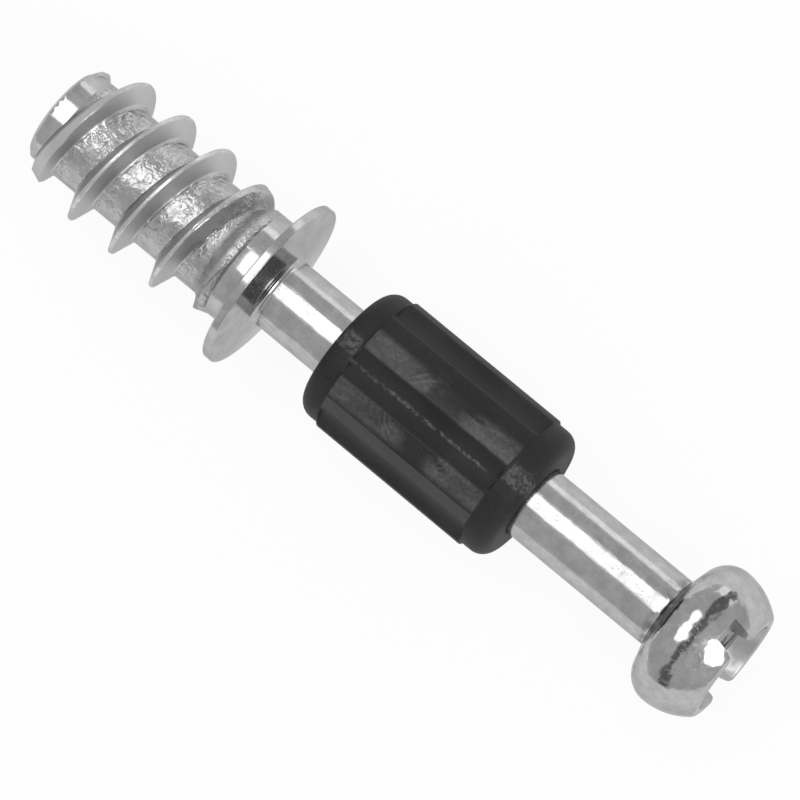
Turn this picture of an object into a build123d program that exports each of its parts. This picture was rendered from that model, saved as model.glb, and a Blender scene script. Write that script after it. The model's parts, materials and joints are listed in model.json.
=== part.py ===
"""Cam lock bolt: a plated steel connecting bolt with a black plastic sleeve on its shank.

Millimetres, +Z up. The bolt lies on its side as it comes to rest, on the rim of its flange and on
its head, with the head towards +X. The origin is on that surface, under the middle of the bolt.
Lengths along the bolt are measured from the middle of the flange's rim, positive towards the head.
"""

from build123d import *
from math import asin, ceil, cos, degrees, radians, sin, tan
import os

# Shank, the plain rod that joins the flange to the head
shank_radius = 1.6

# Flange that stops against the board, thin at its rim and thicker at the shank
flange_radius = 3.9
flange_rim_thickness = 0.38
flange_cone_rise = 0.3
flange_root_chamfer = 0.2
flange_rim_chamfer = 0.06

# Plain shoulder between the thread and the flange, which centres in a 5 mm hole
shoulder_radius = 2.5
shoulder_length = 1.9
shoulder_chamfer = 0.45

# Coarse wood thread: it fades in at the blunt tip and fades out into the shoulder. Where its crest
# passes the upper side is given for the pass nearest the tip, as a distance from the flange
thread_length = 10.9
thread_radius = 3.15
thread_root_radius = 2.18
thread_pitch = 2.18
thread_crest_width = 0.12
thread_flank_angle = 24.0
thread_crest_at_top = 9.56
thread_is_left_handed = True
thread_fade_in = 1.7
thread_fade_in_radius = 2.5
thread_fade_out = 2.0
thread_end_gap = 1.0
tip_radius = 2.12
tip_edge_chamfer = 0.1
tip_cone_length = 0.35
joining_depth = 0.08

# Head that the cam's claw grips from behind
head_back = 20.92
head_back_radius = 2.55
head_back_slope = 0.3
head_back_round = 1.25
head_radius = 3.275
head_widest = 22.42
head_length = 3.4
head_front_bulge = 0.2
head_end_radius = 2.5
head_end_chamfer = 0.18
head_root_chamfer = 0.1

# Screwdriver recess in the end of the head: a cone with a slot across it and a cross in its floor
recess_mouth_radius = 2.1
recess_wall_angle = 20.0
recess_mouth_chamfer = 0.08
slot_width = 1.15
slot_depth = 0.86
slot_angle = 22.0
cross_span = 3.2
cross_width = 0.66
cross_depth = 2.0
cross_floor_span = 1.5

# Plastic sleeve, moulded tight on the shank
sleeve_start = 4.05
sleeve_length = 9.85
sleeve_collar_radius = 3.06
sleeve_end_rounding = 0.7
sleeve_bore_chamfer = 0.08
sleeve_shank_clearance = 0.0
land_count = 6
land_radius = 3.17
land_start = 1.1
land_length = 7.6
flute_angle = 27.0
flute_floor_radius = 2.86
flute_middle_angle = -4.8

# Where the parts of the bolt end, from those sizes
flange_back = -flange_rim_thickness / 2
flange_front = flange_rim_thickness / 2
tip = flange_back - thread_length
head_end = head_back + head_length

# How it lies: the rim of the flange and the widest part of the head both touch the surface
lean = degrees(asin((flange_radius - head_radius) / head_widest))
flange_height = flange_radius * cos(radians(lean))
left_end = tip * cos(radians(lean)) - tip_radius * sin(radians(lean))
right_end = head_end * cos(radians(lean)) + head_end_radius * sin(radians(lean))
flange_middle = Vector(-(left_end + right_end) / 2, 0, flange_height)

# Planes along and across the bolt: in the first, x runs towards the head and y is the radius.
# In the second, x runs away from the surface it lies on, and its normal points to the head.
towards_head = Vector(cos(radians(lean)), 0, -sin(radians(lean)))
away_from_floor = Vector(sin(radians(lean)), 0, cos(radians(lean)))
section = Plane(flange_middle, x_dir=towards_head, z_dir=away_from_floor)
across = Plane(flange_middle, x_dir=away_from_floor, z_dir=towards_head)
bolt_axis = Axis(flange_middle, towards_head)


def facing(angle):
    """The direction across the bolt at this angle from the top, turning towards +Y."""
    return away_from_floor * cos(radians(angle)) + Vector(0, 1, 0) * sin(radians(angle))


# One tooth of the thread, as a section from just under the core's surface to the crest
crest_half = thread_crest_width / 2
tooth_base_radius = thread_root_radius - joining_depth
tooth_base_half = crest_half + (thread_radius - tooth_base_radius) * tan(radians(thread_flank_angle))

# The ridge starts before the tip and ends in the shoulder, and is trimmed at both. Whole turns
# start in the direction that a helix takes by itself
start_direction = Plane(flange_middle, z_dir=towards_head).x_dir
start_angle = away_from_floor.get_signed_angle(start_direction, towards_head)
hand = -1 if thread_is_left_handed else 1
turns_before_tip = ceil((-tip - thread_crest_at_top) / thread_pitch) + 1
ridge_start = -thread_crest_at_top - (turns_before_tip - hand * start_angle / 360) * thread_pitch
fade_out_end = flange_back - thread_end_gap
turns = ceil((fade_out_end - ridge_start) / thread_pitch)

# The cones that the thread rises and sinks along. They meet clear of its crest, and the second
# goes on to just under the surface of the shoulder
cone_top_radius = 1.15 * thread_radius
fade_in_rise = (thread_radius - thread_fade_in_radius) / thread_fade_in
fade_in_cone = (cone_top_radius - thread_fade_in_radius) / fade_in_rise
fade_out_rise = (thread_radius - shoulder_radius) / thread_fade_out
fade_out_cone = (cone_top_radius - shoulder_radius) / fade_out_rise
fade_out_sunk = joining_depth / fade_out_rise

with BuildPart() as thread:
    with BuildSketch(section):
        with Locations((ridge_start - thread_pitch, 0)):
            Rectangle(-ridge_start + 2 * thread_pitch, thread_root_radius, align=Align.MIN)
    revolve(axis=bolt_axis)
    for turn in range(turns):
        turn_start = flange_middle + towards_head * (ridge_start + turn * thread_pitch)
        with BuildLine() as one_turn:
            Helix(
                thread_pitch,
                thread_pitch,
                thread_root_radius,
                center=turn_start,
                direction=towards_head,
                lefthand=thread_is_left_handed,
            )
        tooth_plane = Plane(
            turn_start, x_dir=towards_head, z_dir=towards_head.cross(start_direction)
        )
        with BuildSketch(tooth_plane):
            with BuildLine():
                Polyline(
                    (-tooth_base_half, tooth_base_radius),
                    (-crest_half, thread_radius),
                    (crest_half, thread_radius),
                    (tooth_base_half, tooth_base_radius),
                    close=True,
                )
            make_face()
        sweep(path=one_turn.wires()[0], is_frenet=True, clean=False)
    with BuildSketch(section):
        with BuildLine():
            Polyline(
                (tip, 0),
                (tip, tip_radius - tip_edge_chamfer),
                (tip + tip_edge_chamfer, tip_radius),
                (tip + tip_cone_length, thread_fade_in_radius),
                (tip + tip_cone_length + fade_in_cone, cone_top_radius),
                (fade_out_end - fade_out_cone, cone_top_radius),
                (fade_out_end + fade_out_sunk, shoulder_radius - joining_depth),
                (fade_out_end + fade_out_sunk, 0),
                close=True,
            )
        make_face()
    revolve(axis=bolt_axis, mode=Mode.INTERSECT, clean=False)

# The turned body from the shoulder to the end of the head
shoulder_start = flange_back - shoulder_length
shoulder_cone_base = thread_root_radius - joining_depth
back_end = (head_back + head_back_slope, head_back_radius)
widest = (head_widest, head_radius)
end_corner = (head_end, head_end_radius)
front_middle = (
    (head_widest + head_end) / 2,
    (head_radius + head_end_radius) / 2 + head_front_bulge,
)

with BuildPart() as bolt:
    with BuildSketch(section):
        with BuildLine():
            Polyline(
                (shoulder_start - joining_depth, 0),
                (shoulder_start - joining_depth, shoulder_cone_base),
                (shoulder_start + shoulder_chamfer, shoulder_radius),
                (flange_back, shoulder_radius),
                (flange_back, flange_radius),
                (flange_front, flange_radius),
                (flange_front + flange_cone_rise, shank_radius),
                (head_back, shank_radius),
                back_end,
            )
            RadiusArc(back_end, widest, head_back_round)
            ThreePointArc(widest, front_middle, end_corner)
            Polyline(end_corner, (head_end, 0), (shoulder_start - joining_depth, 0))
        make_face()
    revolve(axis=bolt_axis)
    circles = bolt.edges().filter_by(GeomType.CIRCLE)

    def circle_at(length, radius):
        """The round edge at this length along the bolt with this radius."""
        middle = flange_middle + towards_head * length
        same_radius = circles.filter_by(lambda edge: abs(edge.radius - radius) < 0.001)
        return same_radius.sort_by(lambda edge: (edge.arc_center - middle).length)[0]

    chamfer(circle_at(flange_front + flange_cone_rise, shank_radius), flange_root_chamfer)
    chamfer(circle_at(head_back, shank_radius), head_root_chamfer)
    chamfer(circle_at(head_end, head_end_radius), head_end_chamfer)
    rim_edges = [circle_at(flange_back, flange_radius), circle_at(flange_front, flange_radius)]
    chamfer(rim_edges, flange_rim_chamfer)

    # The cone is turned, the slot crosses the whole end, and the cross sinks from their floor
    recess_floor = head_end - slot_depth
    recess_floor_radius = recess_mouth_radius - slot_depth * tan(radians(recess_wall_angle))
    with BuildSketch(section):
        with BuildLine():
            Polyline(
                (recess_floor, 0),
                (recess_floor, recess_floor_radius),
                (head_end, recess_mouth_radius),
                (head_end, 0),
                close=True,
            )
        make_face()
    revolve(axis=bolt_axis, mode=Mode.SUBTRACT)
    circles = bolt.edges().filter_by(GeomType.CIRCLE)
    chamfer(circle_at(head_end, recess_mouth_radius), recess_mouth_chamfer)
    end_middle = flange_middle + towards_head * head_end
    with BuildSketch(Plane(end_middle, x_dir=facing(slot_angle), z_dir=towards_head)):
        Rectangle(2.2 * head_radius, slot_width)
    extrude(amount=-slot_depth, mode=Mode.SUBTRACT)
    for wing_angle in (slot_angle, slot_angle + 90):
        wing_plane = Plane(
            end_middle,
            x_dir=facing(wing_angle),
            z_dir=facing(wing_angle).cross(towards_head),
        )
        with BuildSketch(wing_plane):
            with BuildLine():
                Polyline(
                    (-cross_span / 2, 0),
                    (-cross_span / 2, -slot_depth),
                    (-cross_floor_span / 2, -cross_depth),
                    (cross_floor_span / 2, -cross_depth),
                    (cross_span / 2, -slot_depth),
                    (cross_span / 2, 0),
                    close=True,
                )
            make_face()
        extrude(amount=cross_width / 2, both=True, mode=Mode.SUBTRACT)
    add(thread.part, clean=False)

bolt.part.label = "bolt"

# Where the sleeve and its lands end, and the circle that each flute is cut with
sleeve_end = sleeve_start + sleeve_length
sleeve_bore_radius = shank_radius + sleeve_shank_clearance
lands_start = sleeve_start + land_start
lands_end = lands_start + land_length
flute_half_chord = land_radius * sin(radians(flute_angle / 2))
flute_chord_radius = land_radius * cos(radians(flute_angle / 2))
flute_depth = flute_chord_radius - flute_floor_radius
flute_radius = (flute_half_chord**2 + flute_depth**2) / (2 * flute_depth)
rounding_weights = [1, 0.72, 1]

with BuildPart() as sleeve:
    with BuildSketch(section):
        with BuildLine():
            Bezier(
                (sleeve_start, sleeve_collar_radius - sleeve_end_rounding),
                (sleeve_start, sleeve_collar_radius),
                (sleeve_start + sleeve_end_rounding, sleeve_collar_radius),
                weights=rounding_weights,
            )
            Polyline(
                (sleeve_start + sleeve_end_rounding, sleeve_collar_radius),
                (lands_start, sleeve_collar_radius),
                (lands_start, land_radius),
                (lands_end, land_radius),
                (lands_end, sleeve_collar_radius),
                (sleeve_end - sleeve_end_rounding, sleeve_collar_radius),
            )
            Bezier(
                (sleeve_end - sleeve_end_rounding, sleeve_collar_radius),
                (sleeve_end, sleeve_collar_radius),
                (sleeve_end, sleeve_collar_radius - sleeve_end_rounding),
                weights=rounding_weights,
            )
            Polyline(
                (sleeve_end, sleeve_collar_radius - sleeve_end_rounding),
                (sleeve_end, sleeve_bore_radius),
                (sleeve_start, sleeve_bore_radius),
                (sleeve_start, sleeve_collar_radius - sleeve_end_rounding),
            )
        make_face()
    revolve(axis=bolt_axis)
    with BuildSketch(across.offset(lands_start)):
        with PolarLocations(
            flute_floor_radius + flute_radius, land_count, start_angle=-flute_middle_angle
        ):
            Circle(flute_radius)
    extrude(amount=land_length, mode=Mode.SUBTRACT)
    rims = sleeve.edges().filter_by(GeomType.CIRCLE).sort_by(bolt_axis)
    inner = rims.filter_by(lambda edge: abs(edge.radius - sleeve_bore_radius) < 0.001)
    chamfer((inner[0], inner[-1]), sleeve_bore_chamfer)

sleeve.part.label = "sleeve"

os.makedirs("parts", exist_ok=True)
for piece in (bolt, sleeve):
    export_step(piece.part, f"parts/{piece.part.label}.step")
    print(piece.part.label, piece.part.volume, len(piece.part.solids()), piece.part.is_valid)
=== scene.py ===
# %% [markdown]
# # Cam lock bolt
# The photograph shows one plated steel bolt for flat furniture, with a black plastic sleeve on its
# shank. It lies on white paper and is seen almost from above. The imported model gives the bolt's
# place and its overall size. This script builds finer surfaces in that place, from the same sizes
# written out below, and gives them their finish, their light and their view.

import json
import math

import bmesh
import bpy
from mathutils import Matrix, Vector


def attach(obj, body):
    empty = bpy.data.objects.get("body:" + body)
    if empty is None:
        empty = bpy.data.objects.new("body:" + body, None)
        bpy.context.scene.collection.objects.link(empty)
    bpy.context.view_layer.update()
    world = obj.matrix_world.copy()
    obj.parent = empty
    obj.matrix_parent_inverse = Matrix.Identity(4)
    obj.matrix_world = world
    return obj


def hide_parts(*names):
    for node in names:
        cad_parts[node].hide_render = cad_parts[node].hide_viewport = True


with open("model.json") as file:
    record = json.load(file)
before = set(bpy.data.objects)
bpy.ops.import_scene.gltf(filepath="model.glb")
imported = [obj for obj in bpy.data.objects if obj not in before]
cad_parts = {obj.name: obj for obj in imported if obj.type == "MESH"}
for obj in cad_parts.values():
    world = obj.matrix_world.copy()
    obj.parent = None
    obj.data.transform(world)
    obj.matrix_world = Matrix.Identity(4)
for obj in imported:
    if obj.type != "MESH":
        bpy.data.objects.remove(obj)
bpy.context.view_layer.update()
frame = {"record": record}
mm = 0.001

# %% [markdown]
# ## Where the bolt lies
# Lengths along the bolt are counted from the middle of the flange's rim, positive towards the head.
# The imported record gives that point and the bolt's direction as one of its mounts, so nothing has
# to be fitted by eye. The bolt leans a little, because the flange is wider than the head.

# %% Read the bolt's place from the record
rim = next(m for m in frame["record"]["mounts"] if m["name"] == "flange_rim")
flange_middle = Vector(rim["pos_m"])
towards_head = -Vector(rim["axis"]).normalized()
sideways = Vector((0, 1, 0))
away_from_floor = towards_head.cross(sideways).normalized()
lying = Matrix((towards_head, sideways, away_from_floor)).transposed().to_4x4()
lying.translation = flange_middle
print("flange at", [round(c / mm, 3) for c in flange_middle])
print("lean", round(math.degrees(math.asin(-towards_head.z)), 3))

# %% [markdown]
# ## Building node trees in a script
# A tree is a list of nodes and the links between them. Two small helpers keep the trees readable:
# one puts a node down and wires its inputs, the other does the same for one step of arithmetic.
# A new node group needs its sockets made with interface.new_socket.

# %% Helpers for node trees
def put(tree, kind, wires=None, **settings):
    """Puts one node in the tree, sets it up, and wires or fills its inputs."""
    node = tree.nodes.new(kind)
    for name, value in settings.items():
        setattr(node, name, value)
    for socket, value in (wires or {}).items():
        if isinstance(value, bpy.types.NodeSocket):
            tree.links.new(value, node.inputs[socket])
        else:
            node.inputs[socket].default_value = value
    return node


def reckon(tree, operation, *numbers, clamp=False):
    """One step of arithmetic on numbers or sockets, giving a socket."""
    node = put(tree, "ShaderNodeMath", dict(enumerate(numbers)), operation=operation)
    node.use_clamp = clamp
    return node.outputs[0]


def new_group(name, kind, inputs, outputs):
    """An empty node group with these sockets, given as name: (type, value), and its two ends."""
    tree = bpy.data.node_groups.new(name, kind)
    for socket, (socket_type, value) in inputs.items():
        made = tree.interface.new_socket(socket, in_out="INPUT", socket_type=socket_type)
        if value is not None:
            made.default_value = value
    for socket, socket_type in outputs.items():
        tree.interface.new_socket(socket, in_out="OUTPUT", socket_type=socket_type)
    return tree, tree.nodes.new("NodeGroupInput").outputs, tree.nodes.new("NodeGroupOutput")


# %% [markdown]
# ## A turned surface
# The shank, the flange and the head come off a lathe, so one outline turned round the axis says it
# all. The Spin operator would do, but a node tree keeps the outline's own points, with its sharp
# and its rounded corners, and can be used for every turned piece. A grid has one row for each
# point of the outline and one column for each step round the axis.

# %% Node group that turns an outline
FLOAT, INT, GEOMETRY = "NodeSocketFloat", "NodeSocketInt", "NodeSocketGeometry"


def grid_place(tree, rows):
    """The column and the row that each point of a grid is in."""
    index = put(tree, "GeometryNodeInputIndex").outputs[0]
    column = reckon(tree, "FLOOR", reckon(tree, "DIVIDE", reckon(tree, "ADD", index, 0.5), rows))
    row = reckon(tree, "SUBTRACT", index, reckon(tree, "MULTIPLY", column, rows))
    return column, row


def round_axis(tree, along, radius, angle):
    """A position from a length along the axis, a radius and an angle from the top."""
    side = reckon(tree, "MULTIPLY", radius, reckon(tree, "SINE", angle))
    up = reckon(tree, "MULTIPLY", radius, reckon(tree, "COSINE", angle))
    return put(tree, "ShaderNodeCombineXYZ", {"X": along, "Y": side, "Z": up}).outputs[0]


def outline_to_grid(tree, outline, steps):
    """A grid for an outline, with each point's place on the outline and its angle."""
    size = put(tree, "GeometryNodeAttributeDomainSize", {"Geometry": outline}, component="MESH")
    rows = size.outputs["Point Count"]
    columns = reckon(tree, "ADD", steps, 1)
    grid = put(tree, "GeometryNodeMeshGrid", {"Vertices X": columns, "Vertices Y": rows})
    column, row = grid_place(tree, rows)
    here = put(tree, "GeometryNodeInputPosition").outputs[0]
    sample = put(tree, "GeometryNodeSampleIndex", data_type="FLOAT_VECTOR", domain="POINT")
    tree.links.new(outline, sample.inputs["Geometry"])
    tree.links.new(here, sample.inputs["Value"])
    tree.links.new(row, sample.inputs["Index"])
    place = put(tree, "ShaderNodeSeparateXYZ", {0: sample.outputs[0]}).outputs
    angle = reckon(tree, "MULTIPLY", reckon(tree, "DIVIDE", column, steps), math.tau)
    return grid.outputs["Mesh"], place, angle


turn_group, given, result = new_group(
    "Turn an outline", "GeometryNodeTree",
    {"Outline": (GEOMETRY, None), "Steps round": (INT, 180)}, {"Surface": GEOMETRY},
)
grid, place, angle = outline_to_grid(turn_group, given["Outline"], given["Steps round"])
turned = put(turn_group, "GeometryNodeSetPosition", {
    "Geometry": grid, "Position": round_axis(turn_group, place["X"], place["Z"], angle),
})
flipped = put(turn_group, "GeometryNodeFlipFaces", {"Mesh": turned.outputs[0]})
turn_group.links.new(flipped.outputs[0], result.inputs[0])
print("turning group nodes", len(turn_group.nodes))

# %% [markdown]
# ## The thread
# A coarse wood thread is a ridge that winds round a core. It could be an array of turns or a swept
# section, but both leave seams where the ridge fades in and out. Here the skin of core and ridge
# is one strip that follows the helix: its columns go round, its rows go across one pitch, and each
# row knows how far it is from the crest. The radius then follows from plain rules: the flank falls
# at its angle, the root is a smooth floor, and two cones trim the ridge at both ends.

# %% Sizes of the thread, in millimetres
tip, tip_radius, tip_chamfer = -11.09, 2.12, 0.1
thread_radius, root_radius, pitch = 3.15, 2.18, 2.18
crest_at_top = -9.56
shoulder_radius, shoulder_start, shoulder_chamfer = 2.5, -2.09, 0.45
fade_out_end = -1.19
skin_start = tip + tip_chamfer
first_turn = math.floor(2 * (skin_start - pitch / 2 - crest_at_top) / pitch) / 2
last_turn = math.ceil(2 * (fade_out_end + pitch / 2 - crest_at_top) / pitch) / 2
print("turns", first_turn, last_turn)

# %% Node group for the thread's skin
thread_inputs = {
    "Steps a turn": (INT, 180), "Rows": (INT, 45), "First turn": (FLOAT, first_turn),
    "Turns": (FLOAT, last_turn - first_turn), "Pitch": (FLOAT, pitch * mm),
    "Crest at top": (FLOAT, crest_at_top * mm), "Crest radius": (FLOAT, thread_radius * mm),
    "Root radius": (FLOAT, root_radius * mm), "Crest half width": (FLOAT, 0.06 * mm),
    "Flank slope": (FLOAT, 1 / math.tan(math.radians(24.0))), "Root rounding": (FLOAT, 0.16 * mm),
    "Start": (FLOAT, skin_start * mm), "Start radius": (FLOAT, tip_radius * mm),
    "End": (FLOAT, fade_out_end * mm), "End radius": (FLOAT, shoulder_radius * mm),
    "Tip slope": (FLOAT, 1.52), "Fade in from": (FLOAT, 2.5 * mm),
    "Fade in slope": (FLOAT, 0.382), "Fade out slope": (FLOAT, 0.325),
    "Shoulder start": (FLOAT, shoulder_start * mm),
    "Shoulder chamfer": (FLOAT, shoulder_chamfer * mm), "Skew": (FLOAT, 0.08 * mm),
}
thread_group, given, result = new_group(
    "Skin of a fading thread", "GeometryNodeTree", thread_inputs, {"Surface": GEOMETRY}
)
t = thread_group
columns = reckon(t, "ADD", reckon(t, "MULTIPLY", given["Steps a turn"], given["Turns"]), 1)
grid = put(t, "GeometryNodeMeshGrid", {"Vertices X": columns, "Vertices Y": given["Rows"]})
column, row = grid_place(t, given["Rows"])
turn = reckon(t, "ADD", reckon(t, "DIVIDE", column, given["Steps a turn"]), given["First turn"])
angle = reckon(t, "MULTIPLY", turn, math.tau)
# From -1 at one side of the strip to 1 at the other, with the rows closer together at the crest
last_row = reckon(t, "SUBTRACT", given["Rows"], 1)
across = reckon(t, "SUBTRACT", reckon(t, "DIVIDE", reckon(t, "MULTIPLY", row, 2), last_row), 1)
spread = reckon(t, "POWER", reckon(t, "ABSOLUTE", across), 1.4)
from_crest = reckon(t, "MULTIPLY", spread, reckon(t, "DIVIDE", given["Pitch"], 2))
signed = reckon(t, "MULTIPLY", from_crest, reckon(t, "SIGN", across))
crest_along = reckon(t, "MULTIPLY_ADD", turn, given["Pitch"], given["Crest at top"])
# The rolled ridge isn't quite square to the axis: it lies nearer the tip on the -Y side
askew = reckon(t, "MULTIPLY", reckon(t, "SUBTRACT", reckon(t, "SINE", angle), 1), given["Skew"])
crest_along = reckon(t, "ADD", crest_along, askew)
along = reckon(t, "ADD", crest_along, signed)
along = reckon(t, "MAXIMUM", along, given["Start"])
along = reckon(t, "MINIMUM", along, given["End"])
# The ridge: a flat crest, then the flank
off_crest = reckon(t, "SUBTRACT", from_crest, given["Crest half width"])
flank = reckon(t, "SUBTRACT", given["Crest radius"], reckon(t, "MULTIPLY", off_crest, given["Flank slope"]))
ridge = reckon(t, "SMOOTH_MIN", flank, given["Crest radius"], 0.03 * mm)
# The core: plain, with the shoulder's chamfer at its end
past_shoulder = reckon(t, "SUBTRACT", along, given["Shoulder start"])
rise = reckon(t, "DIVIDE", past_shoulder, given["Shoulder chamfer"], clamp=True)
gain = reckon(t, "SUBTRACT", given["End radius"], given["Root radius"])
core = reckon(t, "MULTIPLY_ADD", rise, gain, given["Root radius"])
skin = reckon(t, "SMOOTH_MAX", ridge, core, given["Root rounding"])
# The cones that trim it
past_start = reckon(t, "SUBTRACT", along, given["Start"])
tip_cone = reckon(t, "MULTIPLY_ADD", past_start, given["Tip slope"], given["Start radius"])
tip_gain = reckon(t, "SUBTRACT", given["Fade in from"], given["Start radius"])
fade_in_start = reckon(t, "DIVIDE", tip_gain, given["Tip slope"])
past_fade = reckon(t, "SUBTRACT", past_start, fade_in_start)
fade_in = reckon(t, "MULTIPLY_ADD", past_fade, given["Fade in slope"], given["Fade in from"])
to_end = reckon(t, "SUBTRACT", given["End"], along)
fade_out = reckon(t, "MULTIPLY_ADD", to_end, given["Fade out slope"], given["End radius"])
cones = reckon(t, "MINIMUM", fade_in, fade_out)
cones = reckon(t, "MINIMUM", cones, tip_cone)
skin = reckon(t, "MINIMUM", skin, cones)
wound = put(t, "GeometryNodeSetPosition", {
    "Geometry": grid.outputs["Mesh"], "Position": round_axis(t, along, skin, angle),
})
# The finish needs to know the root from the flanks: 1 on the floor of the root, 0 above it
above = reckon(t, "DIVIDE", reckon(t, "SUBTRACT", skin, core), 0.3 * mm, clamp=True)
in_root = reckon(t, "SUBTRACT", 1, above)
marked = put(t, "GeometryNodeStoreNamedAttribute", {
    "Geometry": wound.outputs[0], "Name": "root", "Value": in_root,
}, data_type="FLOAT", domain="POINT")
flipped = put(t, "GeometryNodeFlipFaces", {"Mesh": marked.outputs[0]})
t.links.new(flipped.outputs[0], result.inputs[0])
print("thread group nodes", len(t.nodes))

# %% [markdown]
# ## The bolt's outline
# Only the tip and the part from the shoulder to the head are turned. Small fillets at the flange
# and round the head catch the light in the photograph, so arcs are put in where two lines meet.

# %% Outline of the turned parts
def rounded(corner, before, after, radius, steps=6, hold=0.03):
    """The points of a fillet with this radius at a corner between two straight lines.

    One more point at each side, a little way off, keeps the smooth shading off the flats.
    """
    corner, before, after = Vector(corner), Vector(before), Vector(after)
    to_before = (before - corner).normalized()
    to_after = (after - corner).normalized()
    half = to_before.angle(to_after) / 2
    middle = corner + (to_before + to_after).normalized() * radius / math.sin(half)
    start = corner + to_before * radius / math.tan(half)
    end = corner + to_after * radius / math.tan(half)
    points = [tuple(start + to_before * hold)]
    first, last = (start - middle).normalized(), (end - middle).normalized()
    for step in range(steps + 1):
        points.append(tuple(middle + first.slerp(last, step / steps) * radius))
    return points + [tuple(end + to_after * hold)]


def arc_through(start, via, end, steps):
    """Points of the circular arc through three points, without its first one."""
    (ax, ay), (bx, by), (cx, cy) = start, via, end
    d = 2 * (ax * (by - cy) + bx * (cy - ay) + cx * (ay - by))
    sa, sb, sc = ax * ax + ay * ay, bx * bx + by * by, cx * cx + cy * cy
    middle = Vector(((sa * (by - cy) + sb * (cy - ay) + sc * (ay - by)) / d,
                     (sa * (cx - bx) + sb * (ax - cx) + sc * (bx - ax)) / d))
    radius = (Vector(start) - middle).length
    first, last = (Vector(start) - middle) / radius, (Vector(end) - middle) / radius
    return [tuple(middle + first.slerp(last, i / steps) * radius) for i in range(1, steps + 1)]


shank_radius, flange_radius = 1.6, 3.9
flange_back, flange_front, flange_root = -0.19, 0.19, 0.49
head_back, head_back_radius, head_back_slope = 20.92, 2.55, 0.3
head_widest, head_radius, head_end, head_end_radius = 22.42, 3.275, 24.32, 2.5

slot_depth, mouth_radius = 0.86, 2.1
recess_floor = head_end - slot_depth
recess_floor_radius = mouth_radius - slot_depth * math.tan(math.radians(20.0))

tip_outline = [(tip, 0.0), (tip, tip_radius - tip_chamfer), (skin_start, tip_radius)]
back_end = (head_back + head_back_slope, head_back_radius)
widest = (head_widest, head_radius)
chord = Vector(widest) - Vector(back_end)
sagitta = 1.25 - math.sqrt(1.25**2 - (chord.length / 2) ** 2)
via_back = (Vector(back_end) + Vector(widest)) / 2 + Vector((-chord.y, chord.x)).normalized() * sagitta
via_front = ((head_widest + head_end) / 2, (head_radius + head_end_radius) / 2 + 0.2)
body_outline = [(fade_out_end, shoulder_radius), (-0.6, shoulder_radius)]
body_outline += rounded((flange_back, shoulder_radius), (-1, shoulder_radius), (flange_back, 3.5), 0.08)
body_outline += rounded((flange_back, flange_radius), (flange_back, 3), (0, flange_radius), 0.06)
body_outline += rounded((flange_front, flange_radius), (0, flange_radius), (flange_root, shank_radius), 0.06)
body_outline += rounded((flange_root, shank_radius), (flange_front, flange_radius), (2, shank_radius), 0.25)
body_outline += [(length, shank_radius) for length in (2, 4, 9, 14, 16, 18, 20)]
body_outline += rounded((head_back, shank_radius), (20, shank_radius), back_end, 0.12)
body_outline += [back_end]
body_outline += arc_through(back_end, tuple(via_back), widest, 14)
front = arc_through(widest, via_front, (head_end, head_end_radius), 14)
body_outline += front[:-2]
body_outline += rounded((head_end, head_end_radius), front[-2], (head_end, 1), 0.3, 8)
body_outline += rounded((head_end, mouth_radius), (head_end, 3), (recess_floor, recess_floor_radius), 0.08, 5)
body_outline += [(recess_floor, recess_floor_radius), (recess_floor, 0.8), (recess_floor, 0.0)]
print("outline points", len(tip_outline), len(body_outline))

# %% Turn the outlines, wind the thread and join them
def outline_mesh(name, points):
    """A chain of points in the plane of axis and radius, in metres."""
    mesh = bpy.data.meshes.new(name)
    corners = [(x * mm, 0, r * mm) for x, r in points]
    mesh.from_pydata(corners, [(i, i + 1) for i in range(len(corners) - 1)], [])
    piece = bpy.data.objects.new(name, mesh)
    bpy.context.scene.collection.objects.link(piece)
    return piece


bolt_tree, given, result = new_group(
    "Bolt", "GeometryNodeTree",
    {"Body outline": (GEOMETRY, None), "Tip outline": ("NodeSocketObject", None),
     "Steps round": (INT, 180), "Thread rows": (INT, 45),
     "Finish": ("NodeSocketMaterial", None)},
    {"Bolt": GEOMETRY},
)
b = bolt_tree
tip_source = put(b, "GeometryNodeObjectInfo", {"Object": given["Tip outline"]}).outputs["Geometry"]
body = put(b, "GeometryNodeGroup", node_tree=turn_group)
tip_cap = put(b, "GeometryNodeGroup", node_tree=turn_group)
skin = put(b, "GeometryNodeGroup", node_tree=thread_group)
b.links.new(given["Body outline"], body.inputs["Outline"])
b.links.new(tip_source, tip_cap.inputs["Outline"])
for node, socket in ((body, "Steps round"), (tip_cap, "Steps round"), (skin, "Steps a turn")):
    b.links.new(given["Steps round"], node.inputs[socket])
b.links.new(given["Thread rows"], skin.inputs["Rows"])
joined = put(b, "GeometryNodeJoinGeometry")
for node in (body, tip_cap, skin):
    b.links.new(node.outputs[0], joined.inputs[0])
merged = put(b, "GeometryNodeMergeByDistance", {"Geometry": joined.outputs[0], "Distance": 0.0005 * mm})
realized = put(b, "GeometryNodeRealizeInstances", {"Geometry": merged.outputs[0]})
finished = put(b, "GeometryNodeSetMaterial", {"Geometry": realized.outputs[0], "Material": given["Finish"]})
b.links.new(finished.outputs[0], result.inputs[0])


def bake(piece, tree, values, name):
    """Runs the tree on the piece with these inputs and returns the result as a plain mesh."""
    modifier = piece.modifiers.new(tree.name, "NODES")
    modifier.node_group = tree
    identifiers = {item.name: item.identifier for item in tree.interface.items_tree if item.in_out == "INPUT"}
    for socket, value in values.items():
        modifier[identifiers[socket]] = value
    bpy.context.view_layer.update()
    evaluated = piece.evaluated_get(bpy.context.evaluated_depsgraph_get())
    mesh = bpy.data.meshes.new_from_object(evaluated)
    piece.modifiers.remove(modifier)
    mesh.name = name
    return mesh


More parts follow.
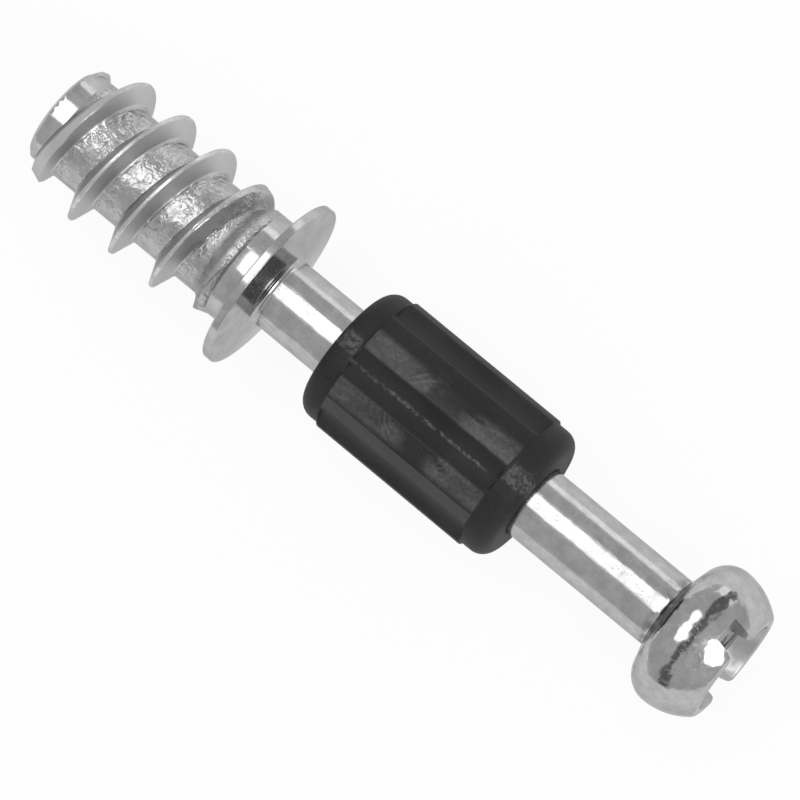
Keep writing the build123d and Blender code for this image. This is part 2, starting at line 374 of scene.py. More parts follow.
steel = bpy.data.materials.new("bright zinc plating")
plastic = bpy.data.materials.new("black moulded plastic")
body_piece = outline_mesh("bolt_body_outline", body_outline)
tip_piece = outline_mesh("bolt_tip_outline", tip_outline)
bolt_mesh = bake(body_piece, bolt_tree, {
    "Tip outline": tip_piece, "Steps round": 180, "Thread rows": 45, "Finish": steel,
}, "bolt_finish")
bpy.data.objects.remove(tip_piece)
bpy.data.objects.remove(body_piece)
print("bolt faces", len(bolt_mesh.polygons))

# %% [markdown]
# ## The slot and the cross
# A screwdriver slot crosses the end of the head, with a cross recess sunk from its floor. They are
# cut with a Boolean modifier. The slot's cutter flares at its mouth, so that the cut leaves the
# rounded edges that stamping and plating give.

# %% Cut the slot and the cross recess
def prism(name, section, direction, half_length, off_middle=0.0):
    """A closed prism: a section of (height, width) points, the same on both sides of its middle."""
    shape = bmesh.new()
    across = direction.cross(Vector((1, 0, 0)))
    rings = []
    for side in (-half_length, half_length):
        rings.append([
            shape.verts.new((Vector((x, 0, 0)) + across * (w + off_middle) + direction * side) * mm)
            for x, w in section
        ])
    shape.faces.new(rings[0])
    shape.faces.new(reversed(rings[1]))
    count = len(section)
    for i in range(count):
        j = (i + 1) % count
        shape.faces.new((rings[0][j], rings[0][i], rings[1][i], rings[1][j]))
    bmesh.ops.recalc_face_normals(shape, faces=shape.faces)
    mesh = bpy.data.meshes.new(name)
    shape.to_mesh(mesh)
    shape.free()
    piece = bpy.data.objects.new(name, mesh)
    bpy.context.scene.collection.objects.link(piece)
    return piece


# The photograph shows the slot 0.14 mm off the middle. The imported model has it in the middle
slot_angle, slot_half, mouth_round, slot_off = math.radians(22.0), 0.575, 0.2, -0.14
# The cuts end a hair below or above the turned floor, since faces in one plane can't be cut cleanly
clear = 0.012
half_section = [(recess_floor - clear, slot_half)]
for step in range(7):
    turn_by = math.radians(90 * step / 6)
    half_section.append((head_end - mouth_round * (1 - math.sin(turn_by)),
                         slot_half + mouth_round * (1 - math.cos(turn_by))))
half_section.append((head_end + 0.5, slot_half + mouth_round))
slot_section = half_section + [(x, -w) for x, w in reversed(half_section)]
slot_direction = Vector((0, math.sin(slot_angle), math.cos(slot_angle)))
cross_direction = Vector((1, 0, 0)).cross(slot_direction)
cutters = [prism("slot_cutter", slot_section, slot_direction, 4.0, slot_off)]
wing = [(head_end + 0.1, 1.6), (recess_floor + clear, 1.6), (head_end - 2.0, 0.75)]
wing_section = wing + [(x, -w) for x, w in reversed(wing)]
for number, direction in enumerate((slot_direction, cross_direction)):
    cutters.append(prism(f"wing_cutter_{number}", wing_section, direction, 0.33))

bolt_piece = bpy.data.objects.new("bolt_finish", bolt_mesh)
bpy.context.scene.collection.objects.link(bolt_piece)
for cutter in cutters:
    cut = bolt_piece.modifiers.new(cutter.name, "BOOLEAN")
    cut.operation = "DIFFERENCE"
    cut.solver = "EXACT"
    cut.object = cutter
bpy.context.view_layer.update()
evaluated = bolt_piece.evaluated_get(bpy.context.evaluated_depsgraph_get())
cut_mesh = bpy.data.meshes.new_from_object(evaluated)
bolt_piece.modifiers.clear()
bolt_piece.data = cut_mesh
for cutter in cutters:
    bpy.data.objects.remove(cutter)


def finish_mesh(piece, material, sharp_angle):
    """Gives every face one finish, lays the piece down, smooths it and counts its triangles."""
    piece.data.materials.clear()
    piece.data.materials.append(material)
    piece.data.polygons.foreach_set("material_index", [0] * len(piece.data.polygons))
    piece.data.transform(lying)
    piece.data.shade_smooth()
    piece.data.set_sharp_from_angle(angle=math.radians(sharp_angle))
    piece.data.update()
    piece.data.calc_loop_triangles()
    shape = bmesh.new()
    shape.from_mesh(piece.data)
    open_edges = sum(1 for edge in shape.edges if len(edge.link_faces) != 2)
    print(piece.name, "triangles", len(piece.data.loop_triangles), "open edges", open_edges,
          "volume", round(shape.calc_volume(signed=True) / mm**3, 2))
    shape.free()


finish_mesh(bolt_piece, steel, 38)

# %% [markdown]
# ## The sleeve
# The sleeve is moulded: a tube with a smooth collar at each end and six lands between them, with
# shallow flutes that stop at the collars. Its radius follows a rule of angle and length, so it is
# made like the turned parts, with the radius changed on the way round.

# %% Node tree for the sleeve
sleeve_inputs = {
    "Outline": (GEOMETRY, None), "Steps round": (INT, 360), "Lands": (INT, 6),
    "Land start": (FLOAT, 5.15 * mm), "Land end": (FLOAT, 12.75 * mm),
    "Step length": (FLOAT, 0.09 * mm), "Collar radius": (FLOAT, 3.06 * mm),
    "Land rise": (FLOAT, 0.11 * mm), "Flute depth": (FLOAT, 0.31 * mm),
    "Flute half angle": (FLOAT, math.radians(13.5)), "Flute at": (FLOAT, math.radians(-4.8)),
    "Finish": ("NodeSocketMaterial", None),
}
sleeve_tree, given, result = new_group("Sleeve", "GeometryNodeTree", sleeve_inputs, {"Sleeve": GEOMETRY})
s = sleeve_tree
grid, place, angle = outline_to_grid(s, given["Outline"], given["Steps round"])
share = reckon(s, "DIVIDE", math.tau, given["Lands"])
from_flute = reckon(s, "SUBTRACT", angle, given["Flute at"])
nearest = reckon(s, "MULTIPLY", reckon(s, "ROUND", reckon(s, "DIVIDE", from_flute, share)), share)
off_flute = reckon(s, "ABSOLUTE", reckon(s, "SUBTRACT", from_flute, nearest))
# The flute's floor is part of a circle: deepest in its middle, and level with the land at its edge
reach = reckon(s, "DIVIDE", off_flute, given["Flute half angle"])
hollow = reckon(s, "SUBTRACT", reckon(s, "MULTIPLY", reach, reach), 1)
floor_rise = reckon(s, "MULTIPLY_ADD", hollow, given["Flute depth"], given["Land rise"])
shape_rise = reckon(s, "SMOOTH_MIN", floor_rise, given["Land rise"], 0.02 * mm)
after_start = reckon(s, "SUBTRACT", place["X"], given["Land start"])
before_end = reckon(s, "SUBTRACT", given["Land end"], place["X"])
inside = reckon(s, "MINIMUM", after_start, before_end)
inside_by = reckon(s, "DIVIDE", inside, given["Step length"], clamp=True)
eased = put(s, "ShaderNodeMapRange", {"Value": inside_by}, interpolation_type="SMOOTHSTEP").outputs[0]
outside = reckon(s, "GREATER_THAN", place["Z"], reckon(s, "SUBTRACT", given["Collar radius"], 0.01 * mm))
weight = reckon(s, "MULTIPLY", eased, outside)
radius = reckon(s, "MULTIPLY_ADD", shape_rise, weight, place["Z"])
moved = put(s, "GeometryNodeSetPosition", {
    "Geometry": grid, "Position": round_axis(s, place["X"], radius, angle),
})
# The finish needs to know the lands: 1 on a land, 0 in a flute and on a collar
on_land = reckon(s, "MULTIPLY", weight, reckon(s, "MULTIPLY_ADD", reach, 8, -7.5, clamp=True))
marked = put(s, "GeometryNodeStoreNamedAttribute", {
    "Geometry": moved.outputs[0], "Name": "land", "Value": on_land,
}, data_type="FLOAT", domain="POINT")
flipped = put(s, "GeometryNodeFlipFaces", {"Mesh": marked.outputs[0]})
merged = put(s, "GeometryNodeMergeByDistance", {"Geometry": flipped.outputs[0], "Distance": 0.0005 * mm})
realized = put(s, "GeometryNodeRealizeInstances", {"Geometry": merged.outputs[0]})
finished = put(s, "GeometryNodeSetMaterial", {"Geometry": realized.outputs[0], "Material": given["Finish"]})
s.links.new(finished.outputs[0], result.inputs[0])

sleeve_start, sleeve_end, collar_radius, bore_chamfer = 4.05, 13.9, 3.06, 0.08
sleeve_outline = [(sleeve_start + bore_chamfer, shank_radius), (sleeve_start, shank_radius + bore_chamfer)]
sleeve_outline += rounded((sleeve_start, collar_radius), (sleeve_start, 2), (6, collar_radius), 0.7, 10)
steps_along = [5.0, 5.15, 5.165, 5.18, 5.195, 5.21, 5.225, 5.24, 5.4]
sleeve_outline += [(x, collar_radius) for x in steps_along]
sleeve_outline += [(5.4 + 7.1 * i / 12, collar_radius) for i in range(1, 12)]
sleeve_outline += [(17.9 - x, collar_radius) for x in reversed(steps_along)]
sleeve_outline += rounded((sleeve_end, collar_radius), (12, collar_radius), (sleeve_end, 2), 0.7, 10)
sleeve_outline += [(sleeve_end, shank_radius + bore_chamfer), (sleeve_end - bore_chamfer, shank_radius)]
sleeve_outline += [(9, shank_radius), (sleeve_start + bore_chamfer, shank_radius)]
sleeve_source = outline_mesh("sleeve_outline", sleeve_outline)
sleeve_mesh = bake(sleeve_source, sleeve_tree, {"Finish": plastic, "Steps round": 360}, "sleeve_finish")
bpy.data.objects.remove(sleeve_source)
sleeve_piece = bpy.data.objects.new("sleeve_finish", sleeve_mesh)
bpy.context.scene.collection.objects.link(sleeve_piece)
finish_mesh(sleeve_piece, plastic, 38)

# %% [markdown]
# ## The camera
# The photograph was taken from far away with a long lens, almost straight down. The bolt runs from
# the upper left to the lower right at 39.6 degrees, and its head end tilts a little towards the
# camera. The camera's own three directions are built from those angles.

# %% Camera
camera_lean, roll = math.radians(12.1), math.radians(39.6)
pixel = 1 / 25.0 * mm
back = Vector((math.sin(camera_lean), 0, math.cos(camera_lean)))
along_view = Vector((math.cos(camera_lean), 0, -math.sin(camera_lean)))
right = along_view * math.cos(roll) + sideways * math.sin(roll)
up = sideways * math.cos(roll) - along_view * math.sin(roll)
centre = flange_middle + towards_head * 6.93 * mm - up * 8 * pixel
camera = bpy.data.objects.new("camera", bpy.data.cameras.new("camera"))
camera.data.lens, camera.data.sensor_width = 270, 36
camera.data.clip_start, camera.data.clip_end = 0.01, 10
turned = Matrix((right, up, back)).transposed().to_4x4()
turned.translation = centre + back * 0.240
camera.matrix_world = turned
bpy.context.scene.collection.objects.link(camera)
bpy.context.scene.camera = camera
print("camera elevation", round(90 - math.degrees(camera_lean), 2))

# %% [markdown]
# ## Finishes
# Both finishes follow the bolt's own directions: the shank is drawn along its length, and the
# sleeve's marks lie on its lands. Object coordinates run along the floor, so one small group turns
# them into places on the bolt, in millimetres. A second group makes the fine scratches and specks
# that handling leaves, which steel and plastic both have.

# %% Shader groups that both finishes use
VECTOR = "NodeSocketVector"


def noise(tree, place, scale, detail=4.0, roughness=0.55, distortion=0.0, **settings):
    """A noise texture's value, with its scale in features a millimetre."""
    wires = {"Vector": place, "Scale": scale, "Detail": detail, "Roughness": roughness}
    node = put(tree, "ShaderNodeTexNoise", wires | {"Distortion": distortion}, **settings)
    return node.outputs["Fac"]


def between(tree, value, low, high, from_value=0.0, to_value=1.0):
    """Maps a value smoothly from one range to another."""
    wires = {"Value": value, "From Min": low, "From Max": high, "To Min": from_value, "To Max": to_value}
    return put(tree, "ShaderNodeMapRange", wires, interpolation_type="SMOOTHSTEP").outputs[0]


def stretched(tree, place, factors):
    """A place stretched or squeezed along the bolt and across it."""
    return put(tree, "ShaderNodeVectorMath", {0: place, 1: factors}, operation="MULTIPLY").outputs[0]


place_group, given, result = new_group(
    "Place on the bolt", "ShaderNodeTree", {"Object coordinates": (VECTOR, None)},
    {"Place": VECTOR, "Along": FLOAT, "Angle": FLOAT},
)
unlying = lying.inverted()
scaled = put(place_group, "ShaderNodeMapping", {
    "Vector": given[0], "Location": unlying.translation / mm, "Rotation": unlying.to_euler(),
    "Scale": (1 / mm, 1 / mm, 1 / mm),
}, vector_type="POINT").outputs[0]
split = put(place_group, "ShaderNodeSeparateXYZ", {0: scaled}).outputs
turned_by = reckon(place_group, "ARCTAN2", split["Y"], split["Z"])
place_group.links.new(scaled, result.inputs["Place"])
place_group.links.new(split["X"], result.inputs["Along"])
place_group.links.new(turned_by, result.inputs["Angle"])

marks_group, given, result = new_group(
    "Handling marks", "ShaderNodeTree",
    {"Place": (VECTOR, None), "Size": (FLOAT, 1.0), "Amount": (FLOAT, 0.5)},
    {"Mask": FLOAT, "Height": FLOAT},
)
m = marks_group
fineness = reckon(m, "DIVIDE", 1, given["Size"])
long_place = stretched(m, given["Place"], (0.35, 2.2, 2.2))
scratches = noise(m, long_place, reckon(m, "MULTIPLY", fineness, 3.0), 6, 0.7, 1.2)
specks = noise(m, given["Place"], reckon(m, "MULTIPLY", fineness, 7.0), 3, 0.6)
patches = between(m, noise(m, given["Place"], 0.45, 2), 0.42, 0.62)
lines = between(m, scratches, 0.60, 0.68)
dots = between(m, specks, 0.64, 0.70)
both = reckon(m, "MAXIMUM", reckon(m, "MULTIPLY", lines, patches), dots)
mask = reckon(m, "MULTIPLY", both, given["Amount"], clamp=True)
m.links.new(mask, result.inputs["Mask"])
m.links.new(reckon(m, "SUBTRACT", 0, mask), result.inputs["Height"])
print("shader groups", place_group.name, "and", marks_group.name)


def start_finish(material):
    """Sets up a material: its tree, its shader, the place on the bolt and the place's parts."""
    material.use_nodes = True
    tree = material.node_tree
    here = put(tree, "ShaderNodeTexCoord").outputs["Object"]
    place = put(tree, "ShaderNodeGroup", node_tree=place_group)
    tree.links.new(here, place.inputs[0])
    return tree, tree.nodes["Principled BSDF"], place.outputs


def mixed(tree, share, first, second):
    """One colour or socket blended into another."""
    node = put(tree, "ShaderNodeMix", data_type="RGBA")
    for number, value in ((0, share), (6, first), (7, second)):
        if isinstance(value, bpy.types.NodeSocket):
            tree.links.new(value, node.inputs[number])
        else:
            node.inputs[number].default_value = value
    return node.outputs[2]


def grouped(tree, group, wires):
    """A node group in a tree, wired by its sockets' names."""
    node = put(tree, "ShaderNodeGroup", node_tree=group)
    for socket, value in wires.items():
        if isinstance(value, bpy.types.NodeSocket):
            tree.links.new(value, node.inputs[socket])
        else:
            node.inputs[socket].default_value = value
    return node.outputs


# %% [markdown]
# ## Bright zinc plating
# The steel is plated. The shank was drawn, so it has faint streaks along it. The thread was rolled,
# and in its root the metal crinkled before it was plated: there the surface is pebbled and glitters.
# The flanks are matt, the crest is rubbed smoother in a broken line that is painted lighter as a
# painted highlight, and the head and the last stretch before the tip stayed smooth. Bump does the
# relief, since it is a few hundredths of a millimetre, and it goes in through the root mask that the
# thread's node tree stored.

# %% Steel
tree, shader, place = start_finish(steel)
root = put(tree, "ShaderNodeAttribute", attribute_name="root", attribute_type="GEOMETRY").outputs["Fac"]
along = place["Along"]
at_thread = between(tree, along, -1.15, -1.35)
late = reckon(tree, "MULTIPLY", between(tree, along, -3.3, -2.4), 0.9)
in_root = reckon(tree, "MAXIMUM", between(tree, root, 0.35, 0.95), late)
# The last stretch before the tip is smooth
behind_tip = between(tree, along, -10.20, -9.95)
crinkled = reckon(tree, "MULTIPLY", reckon(tree, "MULTIPLY", in_root, at_thread), behind_tip)
uneven = between(tree, noise(tree, place["Place"], 0.7, 2), 0.40, 0.62)
worm = noise(tree, place["Place"], 2.3, 3, 0.6, 1.2)
grain = noise(tree, place["Place"], 5.0, 2, 0.5)
relief = reckon(tree, "MULTIPLY_ADD", grain, 0.5, worm)
depth = reckon(tree, "MULTIPLY", crinkled, reckon(tree, "MULTIPLY_ADD", uneven, 0.9, 0.8))
pebbles = reckon(tree, "MULTIPLY", relief, depth)
drawn = noise(tree, stretched(tree, place["Place"], (0.25, 3.5, 3.5)), 1.6, 4, 0.6)
on_shank = reckon(tree, "MULTIPLY", between(tree, along, 0.5, 0.9), between(tree, along, 20.9, 20.4))
streaks = reckon(tree, "MULTIPLY", drawn, on_shank)
waves = noise(tree, place["Place"], 0.9, 2, 0.5)
# Where the head was upset from the rod the metal folded: creases round the neck, and dark blotches there that
# are painted shade in the corner between head and shank
at_neck = reckon(tree, "MULTIPLY", between(tree, along, 20.4, 20.9), between(tree, along, 21.7, 21.2))
creases_and_shade_pattern = noise(tree, place["Place"], 1.3, 2, 0.5, 0.8)
painted_neck_shade = reckon(tree, "MULTIPLY", between(tree, creases_and_shade_pattern, 0.50, 0.62), reckon(tree, "MULTIPLY", at_neck, 0.75))
marks = grouped(tree, marks_group, {"Place": place["Place"], "Size": 0.55, "Amount": 0.6})
height = reckon(tree, "MULTIPLY_ADD", streaks, 0.16, reckon(tree, "MULTIPLY", pebbles, 1.9))
on_head = between(tree, along, 20.9, 21.4)
wave_height = reckon(tree, "MULTIPLY_ADD", on_head, 2.3, 0.45)
height = reckon(tree, "MULTIPLY_ADD", waves, wave_height, height)
height = reckon(tree, "MULTIPLY_ADD", reckon(tree, "MULTIPLY", creases_and_shade_pattern, at_neck), 1.6, height)
height = reckon(tree, "MULTIPLY_ADD", marks["Height"], 0.12, height)
bump = put(tree, "ShaderNodeBump", {"Strength": 1.0, "Distance": 0.035 * mm, "Height": height})
tree.links.new(bump.outputs[0], shader.inputs["Normal"])
tint = between(tree, noise(tree, place["Place"], 1.4, 4, 0.6), 0.3, 0.7)
tint = reckon(tree, "MULTIPLY_ADD", reckon(tree, "SUBTRACT", streaks, 0.5), on_shank, tint, clamp=True)
tone = mixed(tree, tint, (0.42, 0.42, 0.425, 1), (0.53, 0.53, 0.535, 1))
# Painted shade: dark blotches round the neck, where the head meets the shank
tone = mixed(tree, painted_neck_shade, tone, (0.18, 0.18, 0.18, 1))
flanks = reckon(tree, "MULTIPLY", reckon(tree, "SUBTRACT", 1, in_root), at_thread)
parts = put(tree, "ShaderNodeSeparateXYZ", {0: place["Place"]}).outputs
across_square = reckon(tree, "MULTIPLY", parts["Y"], parts["Y"])
radius = reckon(tree, "SQRT", reckon(tree, "MULTIPLY_ADD", parts["Z"], parts["Z"], across_square))
# The walls of the recess are more matt than the head, and their darker tone is painted shade
sideways_share = reckon(tree, "MULTIPLY", parts["Y"], math.cos(slot_angle))
upward_share = reckon(tree, "MULTIPLY", parts["Z"], math.sin(slot_angle))
off_slot = reckon(tree, "SUBTRACT", sideways_share, upward_share)
off_slot = reckon(tree, "ABSOLUTE", reckon(tree, "SUBTRACT", off_slot, slot_off))
in_slot = reckon(tree, "MULTIPLY", between(tree, off_slot, 0.61, 0.58), between(tree, along, 23.40, 23.44))
in_cone = reckon(tree, "MULTIPLY", between(tree, radius, 2.16, 2.10), between(tree, along, 22.0, 22.2))
recess_matt_and_shade = reckon(tree, "MAXIMUM", in_slot, in_cone)
rough = reckon(tree, "MULTIPLY_ADD", crinkled, 0.06, 0.10)
# The crest is rubbed smoother in a thin, broken line, and that line is painted lighter as a painted highlight
crest_rub_and_painted_highlight = reckon(tree, "MULTIPLY", between(tree, radius, 3.04, 3.10), between(tree, along, -1.15, -1.35))
crest_breaks = between(tree, noise(tree, place["Place"], 2.6, 3), 0.44, 0.58)
crest_rub_and_painted_highlight = reckon(tree, "MULTIPLY", crest_rub_and_painted_highlight, crest_breaks)
rough = reckon(tree, "MULTIPLY_ADD", flanks, 0.30, rough)
rough = reckon(tree, "MULTIPLY_ADD", crest_rub_and_painted_highlight, -0.26, rough)
rough = reckon(tree, "MULTIPLY_ADD", recess_matt_and_shade, 0.26, rough)
# The step up to the shoulder is as rough as the flanks
step_up = reckon(tree, "MULTIPLY", between(tree, along, -2.35, -2.15), between(tree, along, -1.5, -1.6))
rough = reckon(tree, "MULTIPLY_ADD", step_up, 0.35, rough)
# Painted shade: the walls of the recess get a darker tone
tone = mixed(tree, reckon(tree, "MULTIPLY", recess_matt_and_shade, 0.75), tone, (0.48, 0.48, 0.48, 1))
tone = mixed(tree, reckon(tree, "MULTIPLY", flanks, 0.9), tone, (0.60, 0.60, 0.605, 1))
# Painted highlight: the crest's broken line is painted lighter
tone = mixed(tree, reckon(tree, "MULTIPLY", crest_rub_and_painted_highlight, 0.5), tone, (0.70, 0.70, 0.70, 1))
tree.links.new(tone, shader.inputs["Base Color"])
rough = reckon(tree, "MULTIPLY_ADD", marks["Mask"], 0.12, rough)
rough = reckon(tree, "MULTIPLY_ADD", drawn, 0.08, rough)
tree.links.new(rough, shader.inputs["Roughness"])
shader.inputs["Metallic"].default_value = 1
shader.inputs["Specular Tint"].default_value = (0.66, 0.66, 0.66, 1)

# %% [markdown]
# ## Black plastic
# The sleeve came out of a mould with a slightly rough skin. The lands rub on things and look
# scuffed, with faint curved flow marks, and the flutes between them stay dark and smoother. The
# lands are painted lighter where they face up, as painted sheen, and so are a band on the lower land
# and a patch on each collar; a line along the middle flute is a painted highlight.

# %% Plastic
tree, shader, place = start_finish(plastic)
land = put(tree, "ShaderNodeAttribute", attribute_name="land", attribute_type="GEOMETRY").outputs["Fac"]
flute_at = math.radians(-4.8)
from_middle = reckon(tree, "ABSOLUTE", reckon(tree, "SUBTRACT", place["Angle"], flute_at))
upper_side = between(tree, from_middle, math.radians(34), math.radians(27))
skin_grain = noise(tree, place["Place"], 5.0, 5, 0.65)
long_noise = noise(tree, stretched(tree, place["Place"], (0.4, 1.0, 1.0)), 0.9, 3, 0.6, 0.4)
long_variation = between(tree, long_noise, 0.36, 0.60)
fine = between(tree, noise(tree, place["Place"], 6.0, 4, 0.7), 0.35, 0.65)
from_gate = reckon(tree, "ABSOLUTE", reckon(tree, "SUBTRACT", place["Along"], 9.4))
ragged = reckon(tree, "ADD", reckon(tree, "SUBTRACT", long_variation, 0.5), from_gate)
near_ends = between(tree, ragged, 0.8, 1.7)
fine_share = reckon(tree, "MULTIPLY_ADD", fine, 0.45, 0.55)
scuff_and_sheen_pattern = reckon(tree, "MULTIPLY", reckon(tree, "MULTIPLY_ADD", near_ends, 0.85, 0.12), fine_share)
scuff_and_sheen_pattern = reckon(tree, "MULTIPLY", scuff_and_sheen_pattern, reckon(tree, "MULTIPLY_ADD", long_variation, 0.5, 0.5))
on_upper_land = reckon(tree, "MULTIPLY", land, upper_side)
scuffs_and_painted_sheen = reckon(tree, "MULTIPLY", scuff_and_sheen_pattern, reckon(tree, "MULTIPLY_ADD", on_upper_land, 0.85, 0.10))
marks = grouped(tree, marks_group, {"Place": place["Place"], "Size": 0.8, "Amount": 0.8})
# The plastic flowed in at one point of the middle flute and set in rings round it. The rings are painted
# lighter only on the lands that face up, as painted sheen
gate = (9.1, -0.24, 2.85)
to_gate = put(tree, "ShaderNodeVectorMath", {0: place["Place"], 1: gate}, operation="DISTANCE")
gate_place = to_gate.outputs["Value"]
ripple = reckon(tree, "MULTIPLY_ADD", long_variation, 4.0, reckon(tree, "MULTIPLY", gate_place, math.tau / 0.21))
rings = reckon(tree, "SINE", ripple)
broken = between(tree, noise(tree, place["Place"], 0.8, 2, 0.5), 0.47, 0.56)
past_inner = between(tree, gate_place, 1.40, 1.55)
in_reach = reckon(tree, "MULTIPLY", past_inner, between(tree, gate_place, 2.2, 1.95))
in_reach = reckon(tree, "MULTIPLY", in_reach, between(tree, from_gate, 0.9, 1.2))
in_reach = reckon(tree, "MULTIPLY", in_reach, broken)
flow_rings_and_painted_sheen = reckon(tree, "MULTIPLY", between(tree, rings, 0.0, 0.9), in_reach)
flow_rings_and_painted_sheen = reckon(tree, "MULTIPLY", flow_rings_and_painted_sheen, on_upper_land)
flange_collar = between(tree, place["Along"], 5.15, 5.0)
on_collar = reckon(tree, "MAXIMUM", flange_collar, between(tree, place["Along"], 12.75, 12.9))
# The two halves of the mould met in the middle flute and left a fine, uneven line, raised by bump. Its
# lighter colour is a painted highlight
jitter = noise(tree, place["Place"], 1.3, 3, 0.6)
strayed = reckon(tree, "MULTIPLY", reckon(tree, "SUBTRACT", jitter, 0.5), 0.04)
off_line = reckon(tree, "ADD", strayed, reckon(tree, "SUBTRACT", place["Angle"], flute_at))
off_line = reckon(tree, "ABSOLUTE", off_line)
blobs = noise(tree, place["Place"], 3.2, 2)
seam_ridge_and_painted_highlight = between(tree, off_line, reckon(tree, "MULTIPLY_ADD", blobs, 0.065, 0.006), 0.004)
seam_ridge_and_painted_highlight = reckon(tree, "MULTIPLY", seam_ridge_and_painted_highlight, between(tree, noise(tree, place["Place"], 2.1, 3), 0.40, 0.60))
seam_ridge_and_painted_highlight = reckon(tree, "MULTIPLY", seam_ridge_and_painted_highlight, reckon(tree, "SUBTRACT", 1, on_collar))
# On both collars one patch beside that line is painted lighter, as painted sheen
beside = between(tree, place["Angle"], -0.06, 0.0)
beside = reckon(tree, "MULTIPLY", beside, between(tree, place["Angle"], 0.30, 0.20))
painted_collar_sheen = reckon(tree, "MULTIPLY", on_collar, beside)
painted_collar_sheen = reckon(tree, "MULTIPLY", painted_collar_sheen, reckon(tree, "MULTIPLY", long_variation, fine))
# Painted sheen: the scuffs, far stronger on the lands that face up, lighten the plastic
light = reckon(tree, "MULTIPLY_ADD", marks["Mask"], 0.30, reckon(tree, "MULTIPLY", scuffs_and_painted_sheen, 0.95))
# Painted sheen: the flow rings lighten only the lands that face up
light = reckon(tree, "MULTIPLY_ADD", flow_rings_and_painted_sheen, 0.28, light)
# Painted sheen: a lighter band along the outer half of the lower land
below_edge = between(tree, place["Angle"], math.radians(-38), math.radians(-39))
above_edge = between(tree, place["Angle"], math.radians(-51), math.radians(-49))
painted_lower_sheen = reckon(tree, "MULTIPLY", reckon(tree, "MULTIPLY", below_edge, land), above_edge)
light = reckon(tree, "MULTIPLY_ADD", painted_lower_sheen, 0.42, light)
# Painted sheen: a lighter patch on each collar
light = reckon(tree, "MULTIPLY_ADD", painted_collar_sheen, 0.8, light)
# Painted highlight: the line along the middle flute is painted lighter
light = reckon(tree, "MULTIPLY_ADD", reckon(tree, "MULTIPLY", seam_ridge_and_painted_highlight, fine), 1.5, light)
tone = mixed(tree, light, (0.010, 0.010, 0.011, 1), (0.11, 0.11, 0.11, 1))
tree.links.new(tone, shader.inputs["Base Color"])
height = reckon(tree, "MULTIPLY_ADD", skin_grain, 0.6, reckon(tree, "MULTIPLY", flow_rings_and_painted_sheen, 0.5))
height = reckon(tree, "MULTIPLY_ADD", marks["Height"], 0.5, height)
height = reckon(tree, "MULTIPLY_ADD", seam_ridge_and_painted_highlight, 1.2, height)
bump = put(tree, "ShaderNodeBump", {"Strength": 1.0, "Distance": 0.02 * mm, "Height": height})
tree.links.new(bump.outputs[0], shader.inputs["Normal"])
rough = reckon(tree, "MULTIPLY_ADD", scuffs_and_painted_sheen, 0.22, reckon(tree, "MULTIPLY_ADD", on_upper_land, -0.26, 0.60))
tree.links.new(rough, shader.inputs["Roughness"])
shader.inputs["Specular IOR Level"].default_value = 0.33

# %% Floor
bpy.ops.mesh.primitive_plane_add(size=1.2)
floor = bpy.context.object
floor.name = "floor"
paper = bpy.data.materials.new("white paper")
paper.use_nodes = True
tree = paper.node_tree
shader = tree.nodes["Principled BSDF"]
shader.inputs["Base Color"].default_value = (0.86, 0.86, 0.86, 1)
shader.inputs["Roughness"].default_value = 0.9
path = put(tree, "ShaderNodeLightPath").outputs
seen = reckon(tree, "MAXIMUM", path["Is Camera Ray"], path["Is Glossy Ray"])
seen = reckon(tree, "MAXIMUM", seen, path["Is Transmission Ray"])
share_white = reckon(tree, "MULTIPLY", seen, 0.93)
glow = put(tree, "ShaderNodeEmission", {"Color": (1, 1, 1, 1), "Strength": 1.0})
mix = put(tree, "ShaderNodeMixShader", {0: share_white, 1: shader.outputs[0], 2: glow.outputs[0]})
tree.links.new(mix.outputs[0], tree.nodes["Material Output"].inputs["Surface"])
floor.data.materials.append(paper)

# %% [markdown]
# ## Light
# Bright metal shows its surroundings more than its own colour. In the photograph a broad white band
# runs along the shank, a softer one lies beside it, and the face of the flange is dark near the
# shank. So there is one large softbox over the thread's side, a weaker one low down across the
# bolt, a round one beyond the head, grey surroundings, and a dark hoop close over the head's end
# of the bolt. What the flange mirrored in the photograph isn't known. The hoop stands in for it,
# and only reflections see it.

# %% World, lamps and hoop
world = bpy.data.worlds.new("grey room")
bpy.context.scene.world = world
world.use_nodes = True
world.node_tree.nodes["Background"].inputs["Color"].default_value = (0.60, 0.60, 0.605, 1)
world.node_tree.nodes["Background"].inputs["Strength"].default_value = 1.0
bpy.context.scene.view_settings.view_transform = "Standard"


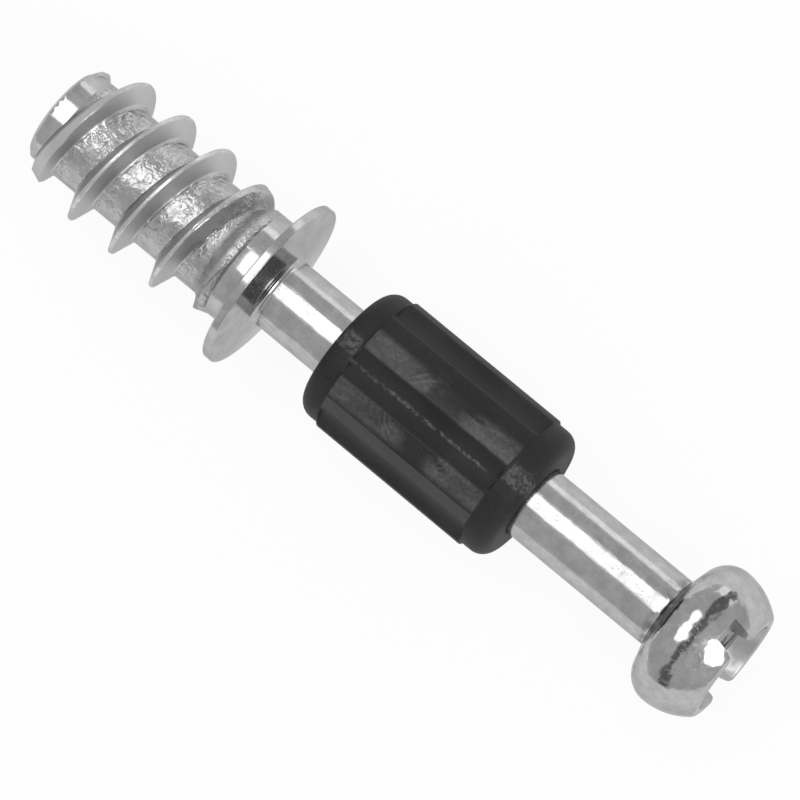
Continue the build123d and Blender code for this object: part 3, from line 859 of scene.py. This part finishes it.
def facing_bolt(piece, lean_to_head, lean_to_side, distance):
    """Puts a lamp in a direction from the bolt, given by its lean from upright."""
    a, b = math.radians(lean_to_head), math.radians(lean_to_side)
    direction = Vector((math.tan(a), math.tan(b), 1)).normalized()
    axis_across = sideways.cross(direction).normalized()
    side = direction.cross(axis_across)
    turned = Matrix((axis_across, side, direction)).transposed().to_4x4()
    turned.translation = direction * distance
    piece.matrix_world = turned
    bpy.context.scene.collection.objects.link(piece)
    return piece


def softbox(name, lean_to_head, lean_to_side, distance, size, radiance, shape="RECTANGLE"):
    """An area lamp that looks this bright in a mirror."""
    lamp = bpy.data.lights.new(name, "AREA")
    lamp.shape = shape
    lamp.size, lamp.size_y = size
    lamp.energy = radiance * math.pi * size[0] * size[1]
    return facing_bolt(bpy.data.objects.new(name, lamp), lean_to_head, lean_to_side, distance)


softbox("key", -16, 5, 0.5, (0.24, 0.40), 1.95)
softbox("side", -14, 80, 0.5, (0.35, 0.16), 0.85)
softbox("beyond_head", 52, -1, 0.5, (0.30, 0.30), 2.8, "ELLIPSE")

# The dark hoop stands over the head's end of the bolt, from side to side
hoop_start, hoop_end, hoop_reach, hoop_radius = 0.0157, 0.0267, 86, 0.05
hoop_middle = 0.0039
hoop_corners = []
for hoop_x in (hoop_start, hoop_end):
    for step in range(25):
        b = math.radians(hoop_reach * (step / 12 - 1))
        hoop_height = hoop_middle + hoop_radius * math.cos(b)
        hoop_corners.append((hoop_x, hoop_radius * math.sin(b), hoop_height))
hoop_mesh = bpy.data.meshes.new("dark_hoop")
hoop_mesh.from_pydata(hoop_corners, [], [(i, i + 1, i + 26, i + 25) for i in range(24)])
hoop = bpy.data.objects.new("dark_hoop", hoop_mesh)
bpy.context.scene.collection.objects.link(hoop)
cloth = bpy.data.materials.new("dark cloth")
cloth.use_nodes = True
cloth.node_tree.nodes["Principled BSDF"].inputs["Base Color"].default_value = (0.02, 0.02, 0.02, 1)
cloth.node_tree.nodes["Principled BSDF"].inputs["Emission Color"].default_value = (0.10, 0.10, 0.10, 1)
cloth.node_tree.nodes["Principled BSDF"].inputs["Emission Strength"].default_value = 1
hoop.data.materials.append(cloth)
hoop.visible_camera = False
hoop.visible_diffuse = False
hoop.visible_shadow = False

# %% Hand over
for piece, node in ((bolt_piece, "bolt"), (sleeve_piece, "sleeve")):
    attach(piece, "root")
    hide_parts(node)
